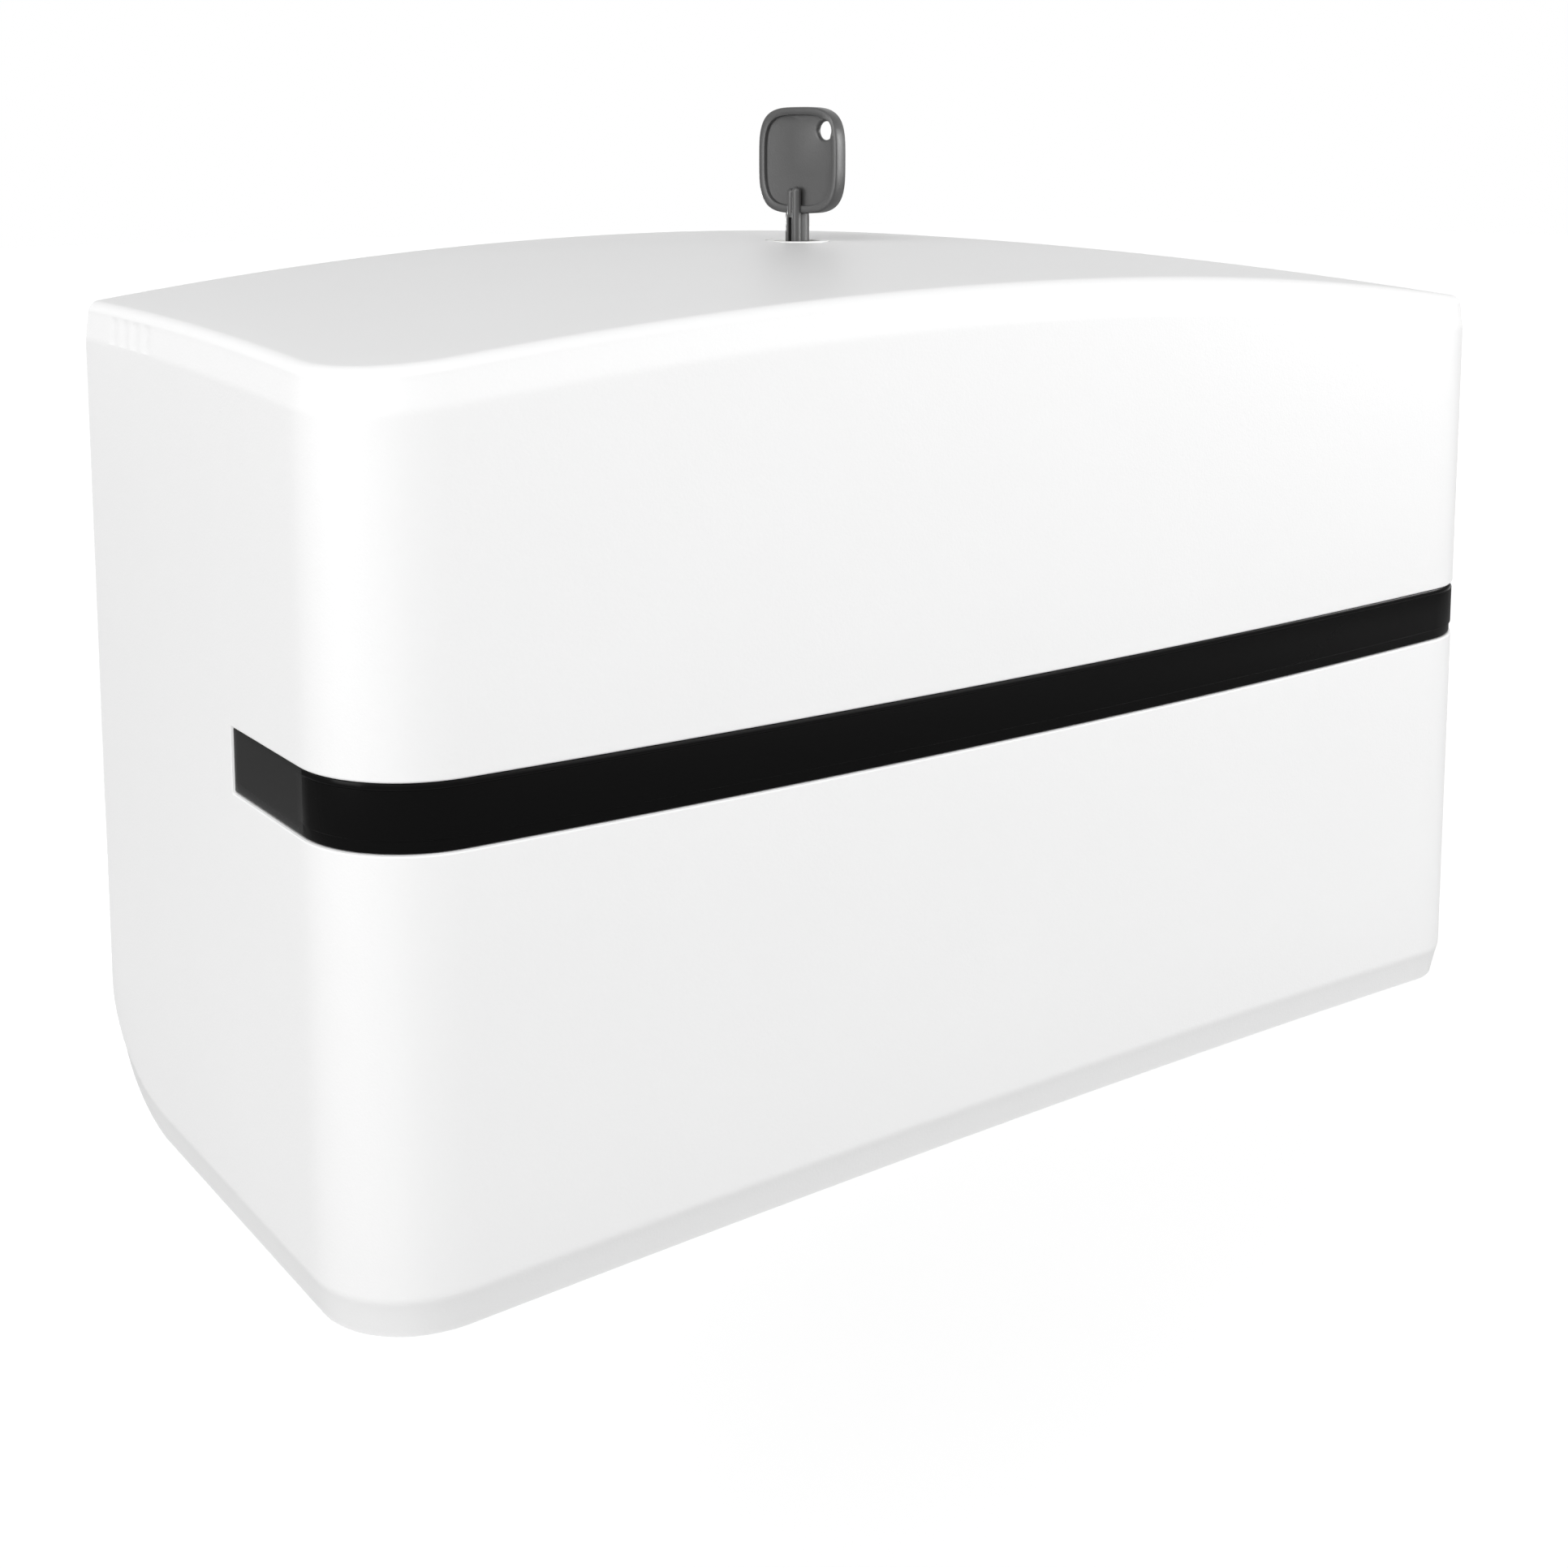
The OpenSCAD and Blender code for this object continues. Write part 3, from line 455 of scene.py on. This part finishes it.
def walls(inner):
    """Walls as rows of points round the outline, outer face or inner: crown rows of (inset,
    drop) lie below the roof, foot rows of (inset, rise) above the lower edge, and the rows
    between them become level at the slot. Also gives the row at the slot's upper edge."""
    # The inner crown is a wall's thickness lower at the lip, and level with the outer one
    # at the band's lower edge.
    sunk, drop = CROWN.T[:, :, None]
    sunk, share = sunk + WALL * inner, np.clip((BAND_DROP - drop) / (BAND_DROP - LIP), 0, 1)
    x, y = np.moveaxis(LINE + sunk[..., None] * INWARD, 2, 0)
    crown = roof(x, y, drop + WALL * inner * share)
    # The inner foot is upright, and ends on the floor where there is one.
    foot_sunk, rise = FOOT.T[:, :, None]
    foot_sunk = WALL + 0 * foot_sunk if inner else foot_sunk
    x, y = np.moveaxis(LINE + foot_sunk[..., None] * INWARD, 2, 0)
    floor = WALL * inner * (LINE[:, 1] <= -FLOOR_BACK)
    foot = under_side(x, y) + floor + rise * (FOOT_TOP - floor) / FOOT_TOP
    # Between them the rows go from the bands to the slot's two edges.
    upper = crown[-1] + BETWEEN * (SLOT_HIGH + 1 - crown[-1])
    lower = SLOT_LOW - 1 + BETWEEN * (foot[0] - SLOT_LOW + 1)
    level = np.vstack([SLOT_HIGH + SLOT_ROWS, SLOT_LOW - SLOT_ROWS[::-1]]) + 0 * crown[-1]
    z = np.vstack([crown, upper, level, lower, foot])
    middle = np.zeros((len(z) - len(crown) - len(foot), 1)) + WALL * inner
    sunk = np.vstack([sunk, middle, foot_sunk]) + 0 * z
    if not inner:
        beside = np.maximum(np.maximum(SLOT_LOW - z, z - SLOT_HIGH), LINE[:, 1] + SLOT_END)
        sunk = sunk + soft_edge(np.maximum(beside, 0), SLOT_SOFT) + ripples(LINE, z)
    place = LINE + sunk[..., None] * INWARD
    return np.dstack([place, z]), len(crown) + len(BETWEEN) + len(SLOT_ROWS) - 1


LOCK_Z = roof(0, LOCK_Y)
BOSS = [(LOCK_BOSS, BOSS_LOW), (LOCK_BOSS, BOSS_LOW + 2), (LOCK_BOSS, BOSS_LOW + 4)]
HOLE = [(LOCK_HOLE, BOSS_LOW), (LOCK_HOLE, LOCK_SUNK), (LOCK_SEAT, LOCK_SUNK)]


def roof_sheet(edge, inner):
    """Roof from the lock's hole to this edge: straight lines in plan, closed by the rear line.
    Under it rings of (radius, height) make the hole's wall, or the boss round it."""
    rear = np.linspace(edge[-1], edge[0], 60)[1:-1, :2]
    rim = np.vstack([edge[:, :2], rear])
    centre = np.array([0, LOCK_Y])
    around = (rim - centre) / np.linalg.norm(rim - centre, axis=1)[:, None]
    ring = centre + around * (LOCK_BOSS if inner else LOCK_SEAT)
    share = np.linspace(0, 1, 24)[:, None, None]
    plan = ring + share * (rim - ring)
    z = roof(plan[..., 0], plan[..., 1], WALL * inner)
    z[-1, : len(edge)] = edge[:, 2]
    radius, height = np.array(BOSS if inner else HOLE).T[:, :, None]
    bore = centre + around * radius[..., None]
    return np.concatenate([np.dstack([bore, LOCK_Z + height + 0 * z[:1]]), np.dstack([plan, z])])


def floor_sheet(edge, inner):
    """Floor from this edge to the outlet's opening, closed by a line across its rear."""
    rear = np.linspace(edge[-1], edge[0], 50)[1:-1, :2]
    rim = np.vstack([edge[:, :2], rear])
    hole = np.clip(rim, (-OUTLET_X, OUTLET_FRONT), (OUTLET_X, OUTLET_BACK))
    share = np.linspace(0, 1, 10)[:, None, None]
    plan = rim + share * (hole - rim)
    z = under_side(plan[..., 0], plan[..., 1]) + WALL * inner
    z[0, : len(edge)] = edge[:, 2]
    return np.dstack([plan, z])


def cover_sheet(inner):
    """Outer or inner face of the whole cover, with the slot's cells left out."""
    wall, slot_row = walls(inner)
    over_floor = LINE[:, 1] <= -FLOOR_BACK
    sheets = [roof_sheet(wall[0], inner), wall, floor_sheet(wall[-1][over_floor], inner)]
    cells = [grid_faces(*sheet.shape[:2], ring=sheet is not wall) for sheet in sheets]
    ahead = LINE[:, 1] <= -SLOT_END
    gone = slot_row * (len(LINE) - 1) + np.flatnonzero(ahead[1:] & ahead[:-1])
    cells[1] = np.delete(cells[1], gone, axis=0)
    return joined([(sheet.reshape(-1, 3), some) for sheet, some in zip(sheets, cells)])


def walled(outer, inner, faces):
    """Two sheets with the same cells made into one wall: the outer cells, the inner ones
    turned over, and a strip along every free edge."""
    _, first, place = np.unique(np.round(outer, 4), axis=0, return_index=True, return_inverse=True)
    cells = first[place.reshape(-1)][faces]
    edges = np.stack([cells, np.roll(cells, -1, axis=1)], axis=-1).reshape(-1, 2)
    edges = edges[edges[:, 0] != edges[:, 1]]
    _, which, uses = np.unique(
        np.sort(edges, axis=1), axis=0, return_inverse=True, return_counts=True
    )
    start, end = edges[uses[which.reshape(-1)] == 1].T
    strip = np.column_stack([end, start, start + len(outer), end + len(outer)])
    return np.vstack([outer, inner]), np.vstack([cells, cells[:, ::-1] + len(outer), strip])


outer_face, cover_cells = cover_sheet(False)
shell = walled(outer_face, cover_sheet(True)[0], cover_cells)
EAR = [(0, 6.5), (2.55, 6.5), (2.55, 0), (7.6, 0), (8, 0.4), (8, EAR_REACH), (0, EAR_REACH)]
ear, faces = turned(EAR)
foot = box_mm("hinge_pins").mean(axis=0) + (EAR_FOOT, 0, 0)
ears = [(stand(ear, foot * (side, 1, 1), (side, 0, 0)), faces) for side in (-1, 1)]
cover_white = plastic(
    "cover_white", (0.92, 0.92, 0.92), roughness=0.45, grain=1900, relief=0.00003, mottle=0.012
)
cover = make_piece(
    "moulded_cover", *joined([shell, *ears]), cover_white, "cover", "cover_plastic", crease=9
)
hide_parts("front_cover")

# ---------------------------------------------------------------------------
# Window strip
# Near-black smoked acrylic band, set into the cover's slot from inside. A lip
# behind the wall holds it. Its middle stands a little proud of its edges in front,
# and its two ends are flat and matt; their paler grey is a painted reflection.

STRIP_LOW, STRIP_HIGH = SLOT_LOW + 0.1, SLOT_HIGH - 0.1
STRIP_FACE, STRIP_BACK, LIP_BACK = 0.5, 3.2, 4.4  # insets from the cover's outer face
STRIP_PROUD, RAISED_LOW, RAISED_HIGH = 0.35, (3.55, 3.75), (13.03, 13.2)  # raised middle
FLAT_END = 117.1  # distance from the wall at which the flat ends stop


def swept(ring, line, inward):
    """Closed profile of (inset, height) carried along a plan line: each of its points moves
    inwards by its inset, and both ends close on one point. Insets may change along the line."""
    inset, height = ring
    plan = line[:, None] + inset[..., None] * inward[:, None]
    points = np.dstack([plan, height + 0 * inset])
    ends = points[[0, -1]].mean(axis=1)[:, None] + 0 * points[:1]
    points = np.vstack([ends[:1], points, ends[1:]])
    return points.reshape(-1, 3), grid_faces(*points.shape[:2], ring=True)


STEPS = [1.5, 3.5, 3.6, 3.72, 3.9, 8.4, 12.9, 13.05, 13.15, 13.25, 14]
inset, height = np.array(
    [
        *[(STRIP_BACK, STRIP_LOW), (0.9, STRIP_LOW), (0.6, STRIP_LOW + 0.1)],
        *[(STRIP_FACE, step) for step in STEPS],
        *[(0.6, STRIP_HIGH - 0.1), (0.9, STRIP_HIGH), (STRIP_BACK, STRIP_HIGH)],
    ]
).T
line, inward = outline(np.r_[SLOT_END + 0.1, 86:115:4])
raised = smooth(height, *RAISED_LOW) * (1 - smooth(height, *RAISED_HIGH))
raised = raised * smooth(-line[:, 1:], FLAT_END, FLAT_END + 1.5)
band = swept((inset - STRIP_PROUD * raised, height + 0 * raised), line, inward)
LIP_LOW, LIP_HIGH = box_mm("window_strip")[:, 2]
inset, height = np.array(
    [
        *[(WALL, LIP_LOW), (WALL, LIP_HIGH), (LIP_BACK - 0.2, LIP_HIGH)],
        *[(LIP_BACK, LIP_HIGH - 0.2), (LIP_BACK, LIP_LOW + 0.2), (LIP_BACK - 0.2, LIP_LOW)],
    ]
).T
line, inward = outline(np.r_[80:115:5.0])
lip = swept((inset + 0 * line[:, :1], height), line, inward)


def painted_reflection_ends(material, dark, pale):
    """Feeds the skin's colour with the dark grey, or with a paler grey where the strip is flat:
    a painted reflection on the flat ends.
    """
    tree = material.node_tree
    skin = next(node for node in tree.nodes if node.type == "GROUP")
    axes = tree.nodes.new("ShaderNodeSeparateXYZ")
    tree.links.new(own_place(tree), axes.inputs[0])
    flat = maths(tree, "GREATER_THAN", axes.outputs["Y"], -FLAT_END * MM)
    shade = maths(tree, "MULTIPLY_ADD", flat, pale - dark, dark)
    tree.links.new(shade, skin.inputs["Colour"])


SMOKED = {"roughness": 0.2, "grain": 900, "relief": 0.000004, "mottle": 0.02, "specular": 0.06}
smoked = plastic("smoked_acrylic", (0, 0, 0), **SMOKED)
# The pale grey on the flat ends is a painted reflection.
painted_reflection_ends(smoked, dark=0.005, pale=0.026)
window = make_piece(
    "smoked_window", *joined([band, lip]), smoked, "cover", "smoked_window", crease=25
)
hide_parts("window_strip")

# ---------------------------------------------------------------------------
# Lock: housing, nut, barrel and cam
# A white ABS rosette on the roof, with a bore for the off-white acetal barrel. A hex
# nut holds it from inside, and the steel cam is screwed to the barrel's end.

BORE, MOUTH, FLANGE = 5.05, 5.9, 7.9  # radii
HOUSING_LOW, MOUTH_LOW = -16, -1.9  # from the roof
ROSETTE = [
    *[(BORE, HOUSING_LOW), (LOCK_HOLE, HOUSING_LOW), (LOCK_HOLE, LOCK_SUNK), (FLANGE, LOCK_SUNK)],
    *[(FLANGE, -0.1), (7.87, 0), (7.8, 0.04), (7.6, 0.06), (6.1, 0.06), (5.96, 0.03)],
    *[(MOUTH, -0.05), (MOUTH, MOUTH_LOW), (BORE, MOUTH_LOW), (BORE, HOUSING_LOW)],
]
rosette, faces = turned(ROSETTE, steps=96)
rosette = rosette + (0, LOCK_Y, LOCK_Z)
lock_white = plastic(
    "lock_white", (0.88, 0.88, 0.87), roughness=0.35, grain=2400, relief=0.00001, mottle=0.01
)
housing = make_piece("lock_rosette", rosette, faces, lock_white, "cover", "cover_plastic")
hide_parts("lock_housing")
dress(acetal, "lock_barrel")
dress(steel, "lock_nut", "lock_cam", "cam_screw")

# ---------------------------------------------------------------------------
# Key
# Dark grey nylon, moulded in one piece: a flat bow with a raised rim and an
# eyelet, on a hollow slotted stem. A thin round post and a short rib run beside
# the stem up the bow.

KEY_SHOW, KEY_LOW = 6.9, -13  # the bow's foot and the stem's lower end, from the roof
KEY_TURN = math.radians(-75)
BOW_HALF, BOW_POWER, BOW_SHIFT = (12.5, 13.15), 3.6, 1.4  # half sizes, form, shift off the stem
BOW_RIM, RIM_HALF, WEB_HALF = 2, 2, 0.9  # width of the rim, and half the two thicknesses
EYELET_AT, EYELET, FLARE = (7.9, 7.3), 2.3, 0.7  # place from the bow's middle, radius, flare
STEM, STEM_BORE, STEM_WALL_MIDDLE = 3, 1.6, 2.3  # radii
SLIT, CLOSED = 0.5, 0.02  # half the width of the slot, and of the seam above it


def bow_outline(inset):
    """Superellipse moved in by inset, with one point for each direction from its middle."""
    turn = np.linspace(0, 2 * math.pi, 144, endpoint=False)
    ray = np.column_stack([np.cos(turn), np.sin(turn)])
    size = (np.abs(ray / (np.array(BOW_HALF) - inset)) ** BOW_POWER).sum(axis=1)
    return ray / size[:, None] ** (1 / BOW_POWER)


EYELET_ROWS = [(0, 0), (0.3, 0.02), (0.55, 0.12), (0.75, 0.3), (0.87, 0.52), (WEB_HALF, FLARE)]
RIM_ROWS = [(BOW_RIM, 1), (1.95, 1.7), (1.85, 1.9), (1.6, RIM_HALF), (0.5, RIM_HALF)]
RIM_ROWS += [(0.25, 1.93), (0.08, 1.75), (0, 1.45)]


def bow():
    """Ring surface from the eyelet's wall over the web and rim to the outer edge and back.
    Each row is (share of the way from the eyelet to the outline, inset, height, flare of the
    eyelet), and points that the eyelet would cut are moved out to its wall."""
    rows = [(0, BOW_RIM, height, flare) for height, flare in EYELET_ROWS]
    rows += [(share, BOW_RIM, WEB_HALF, FLARE) for share in (0.5, 0.95)]
    rows += [(1, inset, height, FLARE) for inset, height in RIM_ROWS]
    rows = np.vstack([rows, np.array(rows[:0:-1]) * (1, 1, -1, 1)])
    outer = np.array([bow_outline(inset) for inset in rows[:, 1]])
    away = bow_outline(BOW_RIM) - EYELET_AT
    radius = EYELET + rows[:, 3:, None]
    hole = EYELET_AT + away / np.linalg.norm(away, axis=1)[:, None] * radius
    points = hole + rows[:, :1, None] * (outer - hole)
    away = points - EYELET_AT
    reach = np.linalg.norm(away, axis=2)[..., None]
    points = EYELET_AT + away * np.maximum(radius / reach, 1)
    x, z = np.moveaxis(points, 2, 0)
    grid = np.dstack([x + BOW_SHIFT, 0 * x - rows[:, 2:3], z + KEY_SHOW + BOW_HALF[1]])
    cells = grid_faces(len(rows), grid.shape[1], ring=True)
    last = (len(rows) - 1) * grid.shape[1]
    column = np.arange(grid.shape[1])
    beside = (column + 1) % grid.shape[1]
    wrap = np.column_stack([last + column, last + beside, beside, column])
    return grid.reshape(-1, 3), np.vstack([cells, wrap])[:, ::-1]


STEM_TAPER = [(5.9, 1), (6.5, 0.97), (7.2, 0.88), (7.9, 0.74), (8.4, 0.6)]


def stem():
    """Slotted tube up Z: a C-shaped ring of an outer and an inner arc, whose ends stand
    either side of the slot; the end rows close on the middle of the wall. Above the slot the
    tube flattens until it is thinner than the bow's rim and ends inside it."""
    rows = [(KEY_LOW, SLIT, STEM_WALL_MIDDLE, STEM_WALL_MIDDLE, 1)]
    rows += [(KEY_LOW, SLIT, STEM - 0.3, STEM_BORE, 1), (KEY_LOW + 0.3, SLIT, STEM, STEM_BORE, 1)]
    rows += [(STEM_TAPER[0][0], SLIT, STEM, STEM_BORE, 1)]
    rows += [(height, CLOSED, STEM, STEM_BORE, flat) for height, flat in STEM_TAPER]
    rows += [(STEM_TAPER[-1][0], CLOSED, STEM_WALL_MIDDLE, STEM_WALL_MIDDLE, STEM_TAPER[-1][1])]
    height, slot, outer, bore, flat = np.array(rows).T[:, :, None]
    share = np.linspace(0, 1, 49)
    arcs = []
    for radius, along in ((outer, share), (bore, share[::-1])):
        free = np.arcsin(slot / radius)
        turn = free - math.pi / 2 + along * 2 * (math.pi - free)
        x, y = radius * np.cos(turn), flat * radius * np.sin(turn)
        arcs.append(np.dstack([x, y, height + 0 * turn]))
    points = np.hstack(arcs)
    return points.reshape(-1, 3), grid_faces(*points.shape[:2], ring=True)


def domed_rod(radius, low, high, chamfer, place):
    """Round rod up Z at a place in plan: a chamfer at low, a wall up to high and half a ball."""
    dome = np.linspace(0, math.pi / 2, 9)
    ball = np.column_stack([radius * np.cos(dome), high + radius * np.sin(dome)])
    profile = [(0, low), (radius - chamfer, low), (radius, low + chamfer), *ball]
    points, faces = turned(profile, steps=32)
    return points + (*place, 0), faces


post = domed_rod(1.15, KEY_LOW, 12.4, chamfer=0.15, place=(1.5, -2.2))
rib = domed_rod(1.1, STEM_TAPER[0][0], 12, chamfer=0, place=(-0.4, -1.8))
points, faces = joined([bow(), stem(), post, rib])
cosine, sine = math.cos(KEY_TURN), math.sin(KEY_TURN)
points = points @ np.array([(cosine, sine, 0), (-sine, cosine, 0), (0, 0, 1)])
points = points + (0, LOCK_Y, LOCK_Z)
key_nylon = plastic(
    "key_nylon", (0.06, 0.06, 0.06), roughness=0.36, grain=2200, relief=0.00002, mottle=0.05
)
key = make_piece("turned_key", points, faces, key_nylon, "key", "key_plastic", crease=30)
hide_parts("key")

# ---------------------------------------------------------------------------
# Floor, light and camera
# A pale floor well below the casing, an even pale sky, large soft lamps at the
# front and both sides, a small one behind, and a camera left of the casing.

FLOOR_AT, FLOOR_HALF, FLOOR_POINTS, FLOOR_GREY = -0.26, 8, 9, 0.3  # metres
LIFT_NEAR, LIFT_PER_METRE = 0.69, 0.2
floor_mesh = bpy.data.meshes.new("studio_floor")
reach = np.linspace(-FLOOR_HALF, FLOOR_HALF, FLOOR_POINTS)
across, along = np.meshgrid(reach, reach)
ground = np.column_stack([across.ravel(), along.ravel(), 0 * along.ravel() + FLOOR_AT])
cells = grid_faces(FLOOR_POINTS, FLOOR_POINTS)
floor_mesh.from_pydata(ground.tolist(), [], cells.tolist())
floor = bpy.data.objects.new("studio_floor", floor_mesh)
bpy.context.scene.collection.objects.link(floor)

# Where the camera sees the floor, it is lifted towards white, and more so farther out.
pale = bpy.data.materials.new("studio_pale")
pale.use_nodes = True
tree = pale.node_tree
surface = tree.nodes["Principled BSDF"].inputs
surface["Base Color"].default_value = (FLOOR_GREY, FLOOR_GREY, FLOOR_GREY, 1)
surface["Roughness"].default_value = 1
surface["Specular IOR Level"].default_value = 0
surface["Emission Color"].default_value = (1, 1, 1, 1)
seen = tree.nodes.new("ShaderNodeLightPath").outputs["Is Camera Ray"]
distance = tree.nodes.new("ShaderNodeVectorMath")
distance.operation = "LENGTH"
tree.links.new(own_place(tree), distance.inputs[0])
far = maths(tree, "MULTIPLY_ADD", distance.outputs["Value"], LIFT_PER_METRE, LIFT_NEAR)
lift = maths(tree, "MULTIPLY", seen, maths(tree, "MINIMUM", far, 1))
tree.links.new(lift, surface["Emission Strength"])
floor_mesh.materials.append(pale)

# The sky is white where it is seen, directly or in a surface, and weaker as a light.
SKY_LIGHT = 0.25
world = bpy.data.worlds.new("studio_sky")
bpy.context.scene.world = world
world.use_nodes = True
tree = world.node_tree
ray = tree.nodes.new("ShaderNodeLightPath").outputs
seen = maths(tree, "MAXIMUM", ray["Is Camera Ray"], ray["Is Glossy Ray"])
seen = maths(tree, "MAXIMUM", seen, ray["Is Transmission Ray"])
strength = maths(tree, "MULTIPLY_ADD", seen, 1 - SKY_LIGHT, SKY_LIGHT)
background = tree.nodes["Background"].inputs
background["Color"].default_value = (1, 1, 1, 1)
tree.links.new(strength, background["Strength"])


MIDDLE, BIG = mathutils.Vector((0, -DEPTH / 2 * MM, 0)), (1.3, 1.3)


def soft_lamp(name, place, size, power):
    """Rectangular area lamp at place, turned to face the casing, in metres and watts."""
    data = bpy.data.lights.new(name, "AREA")
    data.shape = "RECTANGLE"
    data.size, data.size_y = size
    data.energy = power
    lamp = bpy.data.objects.new(name, data)
    bpy.context.scene.collection.objects.link(lamp)
    lamp.location = place
    aim = MIDDLE - lamp.location
    lamp.rotation_euler = aim.to_track_quat("-Z", "Y").to_euler()


soft_lamp("right_lamp", (1.365, -0.858, 0.278), size=(0.4, 0.45), power=8.7)
soft_lamp("front_low_lamp", (1.287, -2.3, 0.362), size=BIG, power=18)
soft_lamp("front_high_lamp", (0, -2.322, 1.3), size=BIG, power=10.5)
soft_lamp("left_high_lamp", (-1.95, -1.196, 1.3), size=BIG, power=29.5)
soft_lamp("left_low_lamp", (-2.575, -0.07, 0.362), size=BIG, power=26.5)
soft_lamp("back_lamp", (0, 0.75, 0), size=(0.3, 0.18), power=4)

# The camera stands left of the casing, looks a little down, and its picture is shifted down.
LENS, SENSOR, DOWNWARD_SHIFT = 47.731, 36, 0.2402
CAMERA_AT, TILT, TO_RIGHT = (-0.30867, -0.47377, 0.12849), 7.082, 35.735
camera_data = bpy.data.cameras.new("studio_camera")
camera_data.lens = LENS
camera_data.sensor_width = SENSOR
camera_data.shift_y = -DOWNWARD_SHIFT
camera_data.clip_start = 0.01
camera = bpy.data.objects.new("studio_camera", camera_data)
bpy.context.scene.collection.objects.link(camera)
camera.location = CAMERA_AT
camera.rotation_euler = (math.radians(90 - TILT), 0, math.radians(-TO_RIGHT))
bpy.context.scene.camera = camera
bpy.context.scene.view_settings.view_transform = "Standard"
